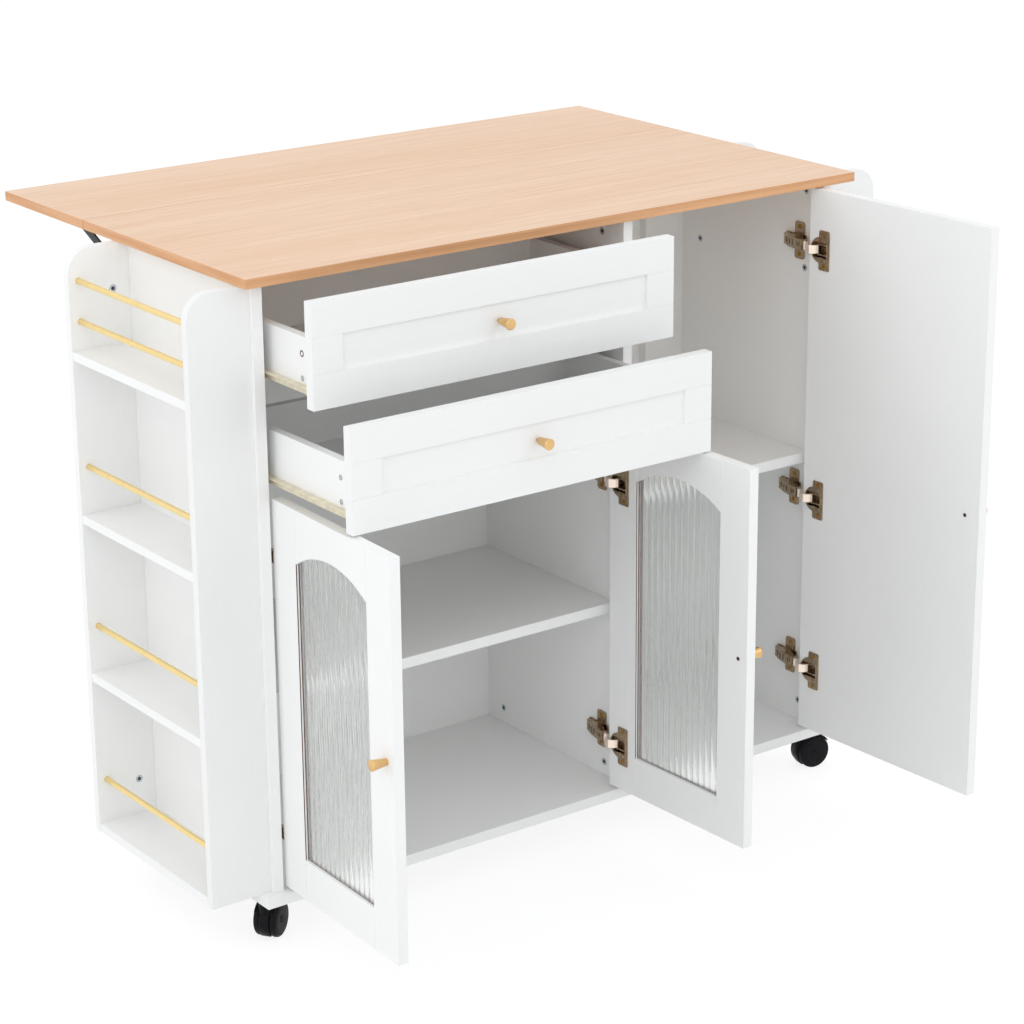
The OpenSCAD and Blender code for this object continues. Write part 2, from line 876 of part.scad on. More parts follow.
module leaf_wall_plates() {
  wall = side_depth - fold_y;
  color(black) {
    at_brackets() {
      block([-plate_half, wall, -142], [plate_half, wall + steel, 8]);
      for (x = [-plate_half, plate_half - steel]) block([x, wall, -18], [x + steel, 8, 8]);
      rod_x([-plate_half - 1, plate_half + 1], 0, 0, pin_r);
      block([-7.4, wall, -strut_down - 8], [-4.8, 6, 8 - strut_down]);
      rod_x([-7.4, -0.2], 0, -strut_down, pin_r);
      rod_x([-1, -0.2], 0, -strut_down, pin_r + 1.5);
      for (z = plate_screws) rod_y([wall + steel, wall + steel + thin_head_t], 0, z, thin_head_r);
    }
    centred() plate_screw_set();
  }
}

module leaf_arms() {
  under = leaf_front - fold_y;
  color(black) at_brackets() {
    difference() {
      union() {
        for (x = [-arm_half, arm_half - steel]) {
          block([x, -web_back, -web_down], [x + steel, arm_l, web_up]);
          block([x, under + 4, -web_down], [x + steel, arm_l, 13]);
        }
        block([-arm_half, under + 4, 13 - steel], [arm_half, arm_l, 13]);
      }
      rod_x([-arm_half - cut, arm_half + cut], 0, 0, pin_r + run);
    }
    rod_x([-arm_half - 1, arm_half + 1], strut_out, 0, pin_r);
    for (y = arm_screws) {
      rod_z([13 - cut, 22], 0, y, thin_r);
      rod_z([13 - steel - thin_head_t, 13 - steel], 0, y, thin_head_r);
    }
  }
}

module drop_leaf() {
  color(oak) difference() {
    centred() block([-top_left, leaf_front, ceiling], [carcass_w + top_right, leaf_back, ceiling + top_t]);
    at_brackets() for (y = arm_screws) rod_z([13 - cut, 22 + run], 0, y, thin_r + run);
  }
}

// A flat bar between two pivots, drawn along +Y with its first pivot at the origin
module strut(x, l, bore) {
  difference() {
    union() {
      rod_x([x, x + strut_t], 0, 0, strut_end_r);
      rod_x([x, x + strut_t], l, 0, strut_end_r);
      block([x, 0, -strut_w / 2], [x + strut_t, l, strut_w / 2]);
    }
    rod_x([x - cut, x + strut_t + cut], 0, 0, bore);
  }
}

module long_struts() {
  color(black) at_brackets() translate([0, strut_out, 0]) rotate([180 + strut_angle, 0, 0]) {
    strut(1, long_l, pin_r + run);
    rod_x([4, 5], long_l, 0, pin_r + 1);
  }
}

module short_struts() {
  color(black) at_brackets() translate([0, 0, -strut_down]) rotate([strut_angle, 0, 0]) {
    strut(-4.2, short_l, pin_r + run);
    rod_x([-5.2, -4.2], short_l, 0, pin_r + 1);
  }
}

// ---- casters, drawn from the floor under their swivel ----

caster_x = [caster_in_x[0] - ledge_left, carcass_w + ledge_right - caster_in_x[1]];
caster_y = [caster_in_y - ledge_front, side_depth - caster_in_y];

module at_caster(n) {
  centred() translate([caster_x[n % 2], caster_y[floor(n / 2)], 0]) rotate([0, 0, caster_turn[n]]) children();
}

module caster_plates() {
  color(zinc) for (n = [0 : 3]) at_caster(n) {
    rod_z([floor_gap - caster_plate_t, floor_gap], 0, 0, caster_plate_r);
    rod_z([floor_gap - 14, floor_gap], 0, 0, stem_r);
  }
}

module caster_hood(n) {
  width = web_half + wheel_gap + wheel_w + 1;
  color(black) at_caster(n) difference() {
    union() {
      rod_y([-width, width], trail, wheel_r, hood_r);
      rod_z([wheel_r, floor_gap - caster_plate_t - 1], 0, 0, 9);
    }
    for (way = [0, 180]) translate([trail, 0, 0]) rotate([0, 0, way]) {
      rod_y([web_half, width + cut], 0, wheel_r, hood_in_r);
    }
    block([-60, -60, -10], [80, 60, web_low]);
    for (low = [[-60, -60, -10], [-60, web_half, -10]]) block(low, low + [140, 60 - web_half, hood_low + 10]);
    rod_z([floor_gap - 14.5, floor_gap], 0, 0, stem_r + run);
    rod_y([-width, width], trail, wheel_r, axle_r + run);
  }
}

module caster_wheels(n) {
  near = web_half + wheel_gap;
  color(black) at_caster(n) {
    for (y = [near, -near - wheel_w]) rod_y([y, y + wheel_w], trail, wheel_r, wheel_r);
    rod_y([-near - wheel_w, near + wheel_w], trail, wheel_r, axle_r);
  }
}

// ---- what is drawn ----

main_top();
left_side_panel();
right_side_panel();
divider();
bottom_board();
back_panel();
back_battens();
left_shelf();
right_shelf();
rack_front_panel();
rack_back_panel();
rack_shelves();
rack_rods();
towel_rail_boards();
towel_rail_bar();
cabinet_slides();
hinge_arms();
leaf_wall_plates();
caster_plates();
panel_screws();
drawer_front(0);  // drawer_1_front
drawer_box(0);  // drawer_1_box
drawer_bottom(0);  // drawer_1_bottom
drawer_slides(0);  // drawer_1_slides
drawer_knob(0);  // drawer_1_knob
drawer_front(1);  // drawer_2_front
drawer_box(1);  // drawer_2_box
drawer_bottom(1);  // drawer_2_bottom
drawer_slides(1);  // drawer_2_slides
drawer_knob(1);  // drawer_2_knob
cabinet_rollers(0);  // cabinet_rollers_1
cabinet_rollers(1);  // cabinet_rollers_2
drawer_rollers(0);  // drawer_1_rollers
drawer_rollers(1);  // drawer_2_rollers
left_door_frame();
left_door_glass();
left_door_knob();
left_door_hinge_cups();
left_door_hinge_links();
right_door_frame();
right_door_glass();
right_door_knob();
right_door_hinge_cups();
right_door_hinge_links();
tall_door_board();
tall_door_knob();
tall_door_hinge_cups();
tall_door_hinge_links();
drop_leaf();
leaf_arms();
long_struts();
short_struts();
caster_hood(0);  // caster_1_hood
caster_hood(1);  // caster_2_hood
caster_hood(2);  // caster_3_hood
caster_hood(3);  // caster_4_hood
caster_wheels(0);  // caster_1_wheels
caster_wheels(1);  // caster_2_wheels
caster_wheels(2);  // caster_3_wheels
caster_wheels(3);  // caster_4_wheels
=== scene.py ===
"""Kitchen island with its drop leaf raised, drawers and doors open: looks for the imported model.

The model's own frame is in metres, its origin is on the floor and the fronts face -Y. Pieces are
written in millimetres from the carcass's front left corner, as the construction has them.
"""

import math

import bmesh
import bpy
from mathutils import Matrix, Vector


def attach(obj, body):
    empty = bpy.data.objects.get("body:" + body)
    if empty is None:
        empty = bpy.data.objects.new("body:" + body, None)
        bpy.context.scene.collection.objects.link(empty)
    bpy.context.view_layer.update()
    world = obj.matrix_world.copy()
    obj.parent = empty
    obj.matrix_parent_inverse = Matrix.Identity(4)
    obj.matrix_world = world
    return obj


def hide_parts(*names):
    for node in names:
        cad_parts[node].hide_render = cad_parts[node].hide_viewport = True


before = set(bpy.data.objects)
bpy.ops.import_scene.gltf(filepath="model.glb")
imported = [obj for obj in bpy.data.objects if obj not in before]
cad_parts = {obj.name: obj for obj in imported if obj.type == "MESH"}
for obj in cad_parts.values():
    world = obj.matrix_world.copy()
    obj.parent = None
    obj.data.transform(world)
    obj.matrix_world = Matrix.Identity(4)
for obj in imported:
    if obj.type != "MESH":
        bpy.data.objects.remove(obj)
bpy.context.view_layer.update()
MM = 0.001

# ---- places, as the construction has them, in millimetres from the carcass's front left corner ----

CENTRE = Vector((495.5, 143.1976, 0.0))  # the model's origin, seen from that corner
BAY_1, BAY_1_W, DIVIDER, RIGHT, BOARD = 15.0, 561.0, 576.0, 929.0, 15.0
DOOR_Z, PIVOT_U, SIDE_GAP = 84.0, 5.0, 2.0
CUP_IN, NOSE_U, NOSE_V = 21.5, 16.0, 17.0  # hinge cup from the door's edge, and the arm's pin
GLASS_W, GLASS_H, TALL_W, TALL_H = 276.5, 532.5, 334.0, 806.5
STILE, BOTTOM_RAIL, TOP_RAIL, ARCH_RISE = 54.5, 57.0, 47.0, 25.0
DRAWER_Z = (756.0, 619.0)
DRAWER_OUT = (107.8, 187.0)
DRAWER_H = 134.5
CASTERS = (  # swivel's x and y, and the angle the caster trails at
    (4.0, 29.5, 35.0),
    (940.0, 29.5, -9.0),
    (4.0, 280.5, 5.0),
    (940.0, 280.5, 215.0),
)
TRAIL, WHEEL_R = 16.0, 25.0


def to_frame(p):
    """A point in millimetres from the carcass's corner, in the model's frame in metres."""
    return (Vector(p) - CENTRE) * MM


class Door:
    """One door: its bay's hinge side, the way it faces and the angle at which it stands open."""

    def __init__(self, name, panel_x, way, angle, hinges, knob):
        self.name, self.panel_x, self.way, self.angle = name, panel_x, way, math.radians(angle)
        self.hinges, self.knob = hinges, knob

    def shut(self, p):
        """A point (u out from the panel, v back, z up from the door's foot), fixed to the carcass."""
        u, v, z = p
        return to_frame((self.panel_x + self.way * u, v, DOOR_Z + z))

    def swung(self, p):
        """The same for a point on the door, which is swung open."""
        u, v, z = p
        c, s = math.cos(self.angle), math.sin(self.angle)
        du = u - PIVOT_U
        return self.shut((PIVOT_U + du * c + v * s, v * c - du * s, z))


GLASS_HINGES = (66.0, GLASS_H - 83.5)
TALL_HINGES = (94.0, 356.0, TALL_H - 85.5)
GLASS_KNOB = (GLASS_W - 16.5, 268.0)
TALL_KNOB = (TALL_W - 25.5, 406.0)
DOORS = (
    Door("left_door", BAY_1, 1, 92.0, GLASS_HINGES, GLASS_KNOB),
    Door("right_door", DIVIDER, -1, 92.3, GLASS_HINGES, GLASS_KNOB),
    Door("tall_door", RIGHT, -1, 92.8, TALL_HINGES, TALL_KNOB),
)

# ---- materials ----


class Graph:
    """A node tree whose nodes are added with their inputs given as values or as sockets."""

    def __init__(self, tree):
        self.tree = tree

    def node(self, kind, inputs=None, **props):
        """Adds a node; inputs gives its sockets values or other sockets, props are its settings."""
        n = self.tree.nodes.new("ShaderNode" + kind)
        for key, value in props.items():
            setattr(n, key, value)
        for key, value in (inputs or {}).items():
            if isinstance(value, bpy.types.NodeSocket):
                self.tree.links.new(value, n.inputs[key])
            else:
                n.inputs[key].default_value = value
        return n

    def math(self, op, a, b=0.0):
        return self.node("Math", {0: a, 1: b}, operation=op).outputs[0]

    def background_seen(self):
        """1 where the camera, a reflection or clear glass looks at the background, else 0."""
        rays = self.node("LightPath").outputs
        glassy = self.math("MAXIMUM", rays["Is Glossy Ray"], rays["Is Transmission Ray"])
        return self.math("MAXIMUM", rays["Is Camera Ray"], glassy)


class Look(Graph):
    """A material: what is even is set on its shader's own sockets, and nodes make what varies."""

    def __init__(self, name, **values):
        self.mat = bpy.data.materials.new(name)
        self.mat.use_nodes = True
        super().__init__(self.mat.node_tree)
        self.shader = self.tree.nodes["Principled BSDF"]
        for key, value in values.items():
            self.shader.inputs[key.replace("_", " ")].default_value = value
        self.place = self.node("TexCoord").outputs["Object"]

    def to(self, socket, value):
        self.tree.links.new(value, self.shader.inputs[socket])

    def noise(self, scale, stretch=(1, 1, 1), detail=3.0, rough=0.5):
        """Noise whose cells are 1/scale metres across, longer where stretch is below 1."""
        at = self.node("Mapping", {"Vector": self.place, "Scale": stretch}).outputs[0]
        values = {"Vector": at, "Scale": scale, "Detail": detail, "Roughness": rough}
        return self.node("TexNoise", values).outputs["Fac"]

    def ramp(self, fac, *stops):
        """Maps a number to colours or greys: stops are (place, colour)."""
        n = self.node("ValToRGB", {"Fac": fac})
        cr = n.color_ramp
        while len(cr.elements) < len(stops):
            cr.elements.new(0.5)
        for e, (at, c) in zip(cr.elements, stops):
            e.position = at
            e.color = (c, c, c, 1) if isinstance(c, (int, float)) else (*c, 1)
        return n.outputs["Color"]

    def mix(self, fac, a, b, blend="MIX"):
        """Goes from a colour to another; each is three numbers or a socket."""
        a, b = (c if isinstance(c, bpy.types.NodeSocket) else (*c, 1) for c in (a, b))
        # Of the Mix node's sockets, inputs 6 and 7 and output 2 are the ones for colours.
        return self.node("Mix", {"Factor": fac, 6: a, 7: b}, data_type="RGBA", blend_type=blend).outputs[2]

    def bump(self, height, strength, distance):
        n = self.node("Bump", {"Height": height, "Strength": strength, "Distance": distance})
        self.to("Normal", n.outputs[0])


def srgb(r, g, b):
    """A colour given as 0 to 255, in the renderer's linear values."""
    return tuple(v / 255 / 12.92 if v <= 10 else ((v / 255 + 0.055) / 1.055) ** 2.4 for v in (r, g, b))


def white_board(name, base=(0.935, 0.935, 0.925), grain=(1, 1, 0.06)):
    """Satin foil on board: near white, faintly mottled, with a fine pressed grain."""
    look = Look(name, Roughness=0.42, IOR=1.46)
    cloud = look.noise(5, detail=2)
    fibre = look.noise(420, grain, detail=4, rough=0.6)
    dark = tuple(v * 0.985 for v in base)
    tone = look.mix(look.ramp(cloud, (0.3, 0.0), (0.7, 1.0)), dark, base)
    streak = look.ramp(fibre, (0.35, 0.988), (0.65, 1.0))
    look.to("Base Color", look.mix(1.0, tone, streak, "MULTIPLY"))
    look.to("Roughness", look.ramp(look.noise(60, grain, detail=3), (0.3, 0.40), (0.7, 0.50)))
    look.bump(fibre, 0.03, 0.0001)
    return look.mat


def oak_board(name):
    """Pale oak foil: fine straight grain along X, soft bands, short pores and darker edges."""
    look = Look(name, Roughness=0.4, IOR=1.47)
    warp = look.noise(1.6, (0.25, 1, 1), detail=2)
    bend = look.node("CombineXYZ", {"Y": look.math("MULTIPLY", warp, 0.05)}).outputs[0]
    look.place = look.node("VectorMath", {0: look.place, 1: bend}, operation="ADD").outputs[0]
    bands = look.noise(14, (0.05, 1, 1), detail=3, rough=0.55)
    lines = look.noise(130, (0.022, 1, 1), detail=4, rough=0.62)
    fine = look.noise(620, (0.02, 1, 1), detail=3, rough=0.6)
    pores = look.noise(900, (0.03, 1, 1), detail=2, rough=0.5)
    pale, warm, deep = srgb(243, 208, 178), srgb(236, 196, 162), srgb(208, 160, 122)
    tone = look.ramp(bands, (0.28, warm), (0.62, pale))
    tone = look.mix(look.ramp(lines, (0.30, 0.40), (0.55, 0.0)), tone, srgb(224, 182, 148))
    tone = look.mix(look.ramp(fine, (0.30, 0.34), (0.60, 0.0)), tone, deep)
    tone = look.mix(look.ramp(pores, (0.27, 0.42), (0.36, 0.0)), tone, srgb(190, 140, 106))
    facing = look.node("TexCoord").outputs["Normal"]
    up = look.math("ABSOLUTE", look.node("SeparateXYZ", {0: facing}).outputs["Z"])
    streaks = look.noise(150, (0.022, 0.03, 1), detail=3, rough=0.6)
    edge = look.ramp(streaks, (0.30, srgb(206, 148, 102)), (0.6, srgb(226, 174, 128)))
    tone = look.mix(look.ramp(up, (0.5, 1.0), (0.75, 0.0)), tone, edge)
    look.to("Base Color", tone)
    look.to("Roughness", look.ramp(lines, (0.3, 0.5), (0.7, 0.36)))
    look.bump(look.math("ADD", look.math("MULTIPLY", lines, 0.5), pores), 0.18, 0.0002)
    return look.mat


def metal(name, colour, rough, brushed=(1, 1, 1), scale=900, wear=0.12, strength=0.1):
    """Metal with fine brushing, faint smudges and a little darkening between them."""
    look = Look(name, Metallic=1.0, Roughness=rough)
    smudge = look.noise(70, detail=3)
    hair = look.noise(scale, brushed, detail=3, rough=0.6)
    dark = tuple(v * (1 - 2.2 * wear) for v in colour)
    look.to("Base Color", look.mix(look.ramp(smudge, (0.35, 0.0), (0.65, 1.0)), dark, colour))
    both = look.math("MULTIPLY", look.math("ADD", smudge, hair), 0.5)
    look.to("Roughness", look.ramp(both, (0.35, rough - wear / 2), (0.65, rough + wear)))
    look.bump(hair, strength, 0.0001)
    return look.mat


def plastic(name, colour, rough, grain=1500, strength=0.08, spread=0.08, **values):
    """Moulded plastic: slight mottling and a fine spark-eroded skin."""
    look = Look(name, Roughness=rough, **values)
    mottle = look.noise(90, detail=3)
    skin = look.noise(grain, detail=2)
    dark = tuple(v * 0.82 for v in colour)
    look.to("Base Color", look.mix(look.ramp(mottle, (0.35, 0.0), (0.65, 1.0)), dark, colour))
    look.to("Roughness", look.ramp(mottle, (0.3, rough - spread / 2), (0.7, rough + spread)))
    look.bump(skin, strength, 0.0001)
    return look.mat


def ribbed_glass(name):
    """Pressed glass, slightly milky, with a faint change of tone and polish."""
    look = Look(name, Transmission_Weight=0.84, IOR=1.46)
    cloud = look.noise(9, detail=2)
    tone = look.mix(look.ramp(cloud, (0.3, 0.0), (0.7, 1.0)), srgb(251, 253, 252), srgb(254, 255, 254))
    look.to("Base Color", tone)
    look.to("Roughness", look.ramp(look.noise(40, detail=3), (0.3, 0.0), (0.7, 0.015)))
    return look.mat


WHITE = white_board("white_foil")
WHITE_DEEP = white_board("white_foil_across", grain=(0.06, 1, 1))
# A darker copy of the white foil for the rack's front panel: painted shade where the open doors keep light
# from it.
WHITE_PAINTED_SHADE = white_board("white_foil_painted_shade", base=(0.895, 0.895, 0.885))
WHITE_DRAWER = white_board("white_foil_drawer", base=(0.905, 0.905, 0.895), grain=(0.06, 1, 1))
DRAWER_SHEET = white_board("drawer_sheet", base=(0.89, 0.88, 0.87), grain=(0.06, 1, 1))
OAK = oak_board("oak_foil")
GOLD = metal("satin_gold", srgb(247, 222, 158), 0.30, (1, 0.03, 1), 1300, 0.02, 0.08)
KNOB_GOLD = metal("knob_gold", srgb(234, 194, 134), 0.30, (1, 1, 1), 900, 0.05, 0.1)
BRONZE = metal("hinge_bronze", srgb(180, 158, 132), 0.24, (1, 1, 0.4), 260, 0.09, 0.5)
NICKEL = metal("link_nickel", srgb(252, 236, 222), 0.42, (1, 1, 0.2), 900, 0.02)
BRASSY = metal("screw_brass", srgb(176, 136, 66), 0.3, wear=0.08)
ZINC = metal("screw_zinc", srgb(196, 200, 204), 0.26, wear=0.08)
DARK_SCREW = metal("screw_dark", srgb(104, 76, 62), 0.42, wear=0.1)
RIM = metal("screw_rim", srgb(214, 226, 236), 0.36, wear=0.04)
GUNMETAL = metal("connector_dark", srgb(84, 84, 88), 0.36, wear=0.1)
BLACK_STEEL = plastic("bracket_black", (0.018, 0.018, 0.02), 0.42, 1100, 0.3)
CREAM = plastic("slide_cream", srgb(236, 226, 200), 0.38, 1300, 0.12)
ROLLER = plastic("roller_cream", srgb(232, 224, 204), 0.45, 1500, 0.05)
HOOD = plastic("caster_hood", (0.004, 0.004, 0.005), 0.34, 1500, 0.05, Specular_IOR_Level=0.12)
TREAD = plastic("caster_wheel", (0.006, 0.006, 0.008), 0.45, 700, 0.12, Specular_IOR_Level=0.12)
# Raw board brown, darker than bare board: painted shade for the inside of holes and for the gaps round the
# panes.
RAW_BOARD_AND_SHADE = plastic("raw_board_and_painted_shade", srgb(96, 58, 40), 0.75, 900, 0.3)
GLASS = ribbed_glass("ribbed_glass")

# ---- CAD nodes that keep their shape: a finish and slightly rounded edges ----


def round_edges(obj, bevel):
    """Adds a modifier that rounds the edges by so many millimetres."""
    edge = obj.modifiers.new("edge", "BEVEL")
    edge.width = bevel * MM
    edge.segments = 2
    edge.limit_method = "ANGLE"
    edge.angle_limit = math.radians(35)
    return edge


def finish_node(obj, mat, bevel):
    """Gives a CAD node its material and, unless bevel is 0, slightly rounded edges."""
    for held in obj.material_slots:
        held.material = mat
    if bevel:
        weld = obj.modifiers.new("weld", "WELD")
        weld.merge_threshold = 1e-6
        flat = obj.modifiers.new("flat", "DECIMATE")
        flat.decimate_type = "DISSOLVE"
        flat.angle_limit = math.radians(0.3)
        round_edges(obj, bevel).use_clamp_overlap = False
        even = obj.modifiers.new("even", "WEIGHTED_NORMAL")
        even.weight = 100


FINISHES = (  # material, how many millimetres the edges are rounded by, and the CAD nodes
    (OAK, 0.5, ("main_top", "drop_leaf")),
    (WHITE, 0.35, ("left_side_panel", "right_side_panel", "divider", "back_battens")),
    (WHITE, 0.35, ("rack_back_panel", "towel_rail_boards")),
    # The rack's front panel takes the darker copy of the white, which is painted shade.
    (WHITE_PAINTED_SHADE, 0.35, ("rack_front_panel",)),
    (WHITE, 0.2, ("left_door_frame", "right_door_frame", "tall_door_board")),
    (WHITE_DEEP, 0.35, ("bottom_board", "back_panel", "left_shelf", "right_shelf", "rack_shelves")),
    (WHITE_DEEP, 0.35, ("drawer_1_box", "drawer_2_box")),
    (WHITE_DRAWER, 0.2, ("drawer_1_front", "drawer_2_front")),
    (DRAWER_SHEET, 0, ("drawer_1_bottom", "drawer_2_bottom")),
    (GOLD, 0.3, ("rack_rods", "towel_rail_bar")),
    (CREAM, 0.15, ("cabinet_slides", "drawer_1_slides", "drawer_2_slides")),
    (ROLLER, 0.4, ("cabinet_rollers_1", "cabinet_rollers_2", "drawer_1_rollers", "drawer_2_rollers")),
    (BLACK_STEEL, 0.3, ("leaf_wall_plates", "leaf_arms", "long_struts", "short_struts")),
    (NICKEL, 0.3, ("left_door_hinge_links", "right_door_hinge_links", "tall_door_hinge_links")),
    (ZINC, 0.3, ("caster_plates",)),
)
for mat, bevel, names in FINISHES:
    for name in names:
        finish_node(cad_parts[name], mat, bevel)

# ---- mesh building ----


def square_to(axis):
    """The axis as a unit vector, with two more that are square to it and to each other."""
    axis = Vector(axis).normalized()
    side = axis.orthogonal().normalized()
    return axis, side, axis.cross(side)


def turn(count):
    """The angles of so many even steps round a circle."""
    return [2 * math.pi * k / count for k in range(count)]


def between(loops, count):
    """Faces between neighbouring loops of points; a loop of one point closes the shape."""
    faces = []
    for a, b in zip(loops, loops[1:]):
        for k in range(count):
            m = (k + 1) % count
            quad = [a[k % len(a)], a[m % len(a)], b[m % len(b)], b[k % len(b)]]
            faces.append(tuple(dict.fromkeys(quad)))
    return faces


SCREW_STEPS, SCREW_FOOT = 40, 1.2
SCREW_RINGS = (0.0, 0.14, 0.28, 0.42, 0.56, 0.70, 0.84, 0.94, 1.0)  # shares of the head's radius
CROSS_ARM, CROSS_REACH = 0.15, 0.45  # the recess's half width and length, as such shares


class Build:
    """Collects closed shapes, given in millimetres, into one mesh in the model's frame."""

    def __init__(self, place=to_frame):
        self.bm = bmesh.new()
        self.place = place

    def add(self, points, faces):
        verts = [self.bm.verts.new(self.place(p)) for p in points]
        for f in faces:
            self.bm.faces.new([verts[i] for i in f])

    def prism(self, outline, low, high, axis=2):
        """An outline in the two other axes, in order, drawn out along one axis."""
        others = [i for i in range(3) if i != axis]
        n = len(outline)
        points = []
        for level in (low, high):
            for a, b in outline:
                p = [0.0, 0.0, 0.0]
                p[others[0]], p[others[1]], p[axis] = a, b, level
                points.append(p)
        sides = [(i, (i + 1) % n, n + (i + 1) % n, n + i) for i in range(n)]
        self.add(points, [tuple(range(n - 1, -1, -1)), tuple(range(n, 2 * n))] + sides)

    def box(self, low, high):
        outline = ((low[0], low[1]), (high[0], low[1]), (high[0], high[1]), (low[0], high[1]))
        self.prism(outline, low[2], high[2])

    def lathe(self, profile, base, axis, count=48):
        """A (radius, height) profile turned about an axis; it starts and ends at radius 0."""
        axis, side, across = square_to(axis)
        base = Vector(base)
        points, loops = [], []
        for r, h in profile:
            loop = []
            for t in turn(count if r else 1):
                loop.append(len(points))
                points.append(base + axis * h + (side * math.cos(t) + across * math.sin(t)) * r)
            loops.append(loop)
        self.add(points, between(loops, count))

    def screw(self, at, axis, radius, height):
        """A pan head with a cross recess, standing out of a face, with its foot sunk in it."""
        axis, side, across = square_to(axis)
        at = Vector(at)
        points, loops = [], []
        for q, sunk in [(q, False) for q in SCREW_RINGS] + [(1.0, True), (0.0, True)]:
            loop = []
            for t in turn(SCREW_STEPS if q else 1):
                x, y = q * math.cos(t), q * math.sin(t)
                dome = height * (0.55 + 0.45 * math.sqrt(max(0.0, 1 - q * q)))
                arm = max(0.0, 1 - min(abs(x), abs(y)) / CROSS_ARM)
                reach = max(0.0, 1 - max(0.0, max(abs(x), abs(y)) - CROSS_REACH) / 0.16)
                level = -SCREW_FOOT if sunk else dome - min(1.0, 1.6 * arm * reach) * height * 1.25
                loop.append(len(points))
                points.append(at + (side * x + across * y) * radius + axis * level)
            loops.append(loop)
        self.add(points, between(loops, SCREW_STEPS))

    def slab(self, at, axis, along, length, width, height=0.14):
        """A shallow rectangular patch, so long and so wide, on a face that looks along the axis."""
        axis, along = Vector(axis).normalized(), Vector(along).normalized()
        across = axis.cross(along)
        points = [Vector(at) + along * a * length / 2 + across * b * width / 2 + axis * h
                  for h in (-0.6, height) for a, b in ((-1, -1), (1, -1), (1, 1), (-1, 1))]
        self.add(points, [(3, 2, 1, 0), (4, 5, 6, 7), (0, 1, 5, 4), (1, 2, 6, 5), (2, 3, 7, 6), (3, 0, 4, 7)])

    def ring(self, profile, base, axis, count=40):
        """A closed (radius, height) profile turned about an axis."""
        axis, side, across = square_to(axis)
        base, n = Vector(base), len(profile)
        points = []
        for t in turn(count):
            out = side * math.cos(t) + across * math.sin(t)
            points += [base + out * r + axis * h for r, h in profile]
        faces = []
        for k in range(count):
            m = (k + 1) % count
            for i in range(n):
                j = (i + 1) % n
                faces.append((k * n + i, k * n + j, m * n + j, m * n + i))
        self.add(points, faces)

    def done(self, name, body, mat, slot, bevel=0.0, replaces=(), sharp=35):
        """Makes the mesh a piece that rides on a body, and stands for the nodes it replaces."""
        bmesh.ops.recalc_face_normals(self.bm, faces=self.bm.faces)
        mesh = bpy.data.meshes.new(name)
        self.bm.to_mesh(mesh)
        self.bm.free()
        mesh.shade_smooth()
        mesh.set_sharp_from_angle(angle=math.radians(sharp))
        mesh.materials.append(mat)
        obj = bpy.data.objects.new(name, mesh)
        bpy.context.scene.collection.objects.link(obj)
        if bevel:
            round_edges(obj, bevel).harden_normals = True
        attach(obj, body)
        if replaces:
            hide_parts(*replaces)
        return obj


def rounded(w, h, r, steps=6):
    """A rectangle about the origin with rounded corners."""
    out = []
    for corner, (x, y) in enumerate(((1, 1), (-1, 1), (-1, -1), (1, -1))):
        cx, cy = x * (w / 2 - r), y * (h / 2 - r)
        for k in range(steps + 1):
            t = math.radians(90 * corner + 90 * k / steps)
            out.append((cx + r * math.cos(t), cy + r * math.sin(t)))
    return out


# ---- ribbed panes, with the raw edges of the groove that holds them, darkened with painted gap shade ----

RIB, RIB_DEEP, RIB_STEPS = 11.4, 0.6, 12
PANE_BACK, PANE_FRONT, PANE_IN = 9.5, 5.5, 4.4
EDGE_OUT, EDGE_IN = 0.12, 0.1  # a brown edge line stands this far out of its wall and sinks in it
SPRING = GLASS_H - TOP_RAIL - ARCH_RISE


def arch_top(u, grow):
    """Height of the arched opening's upper edge at u from the hinge-side panel."""
    half = GLASS_W / 2 - STILE
    radius = (half ** 2 + ARCH_RISE ** 2) / (2 * ARCH_RISE)
    x = min(abs(u - SIDE_GAP - GLASS_W / 2), half + grow)
    return SPRING + ARCH_RISE - radius + math.sqrt((radius + grow) ** 2 - x * x)


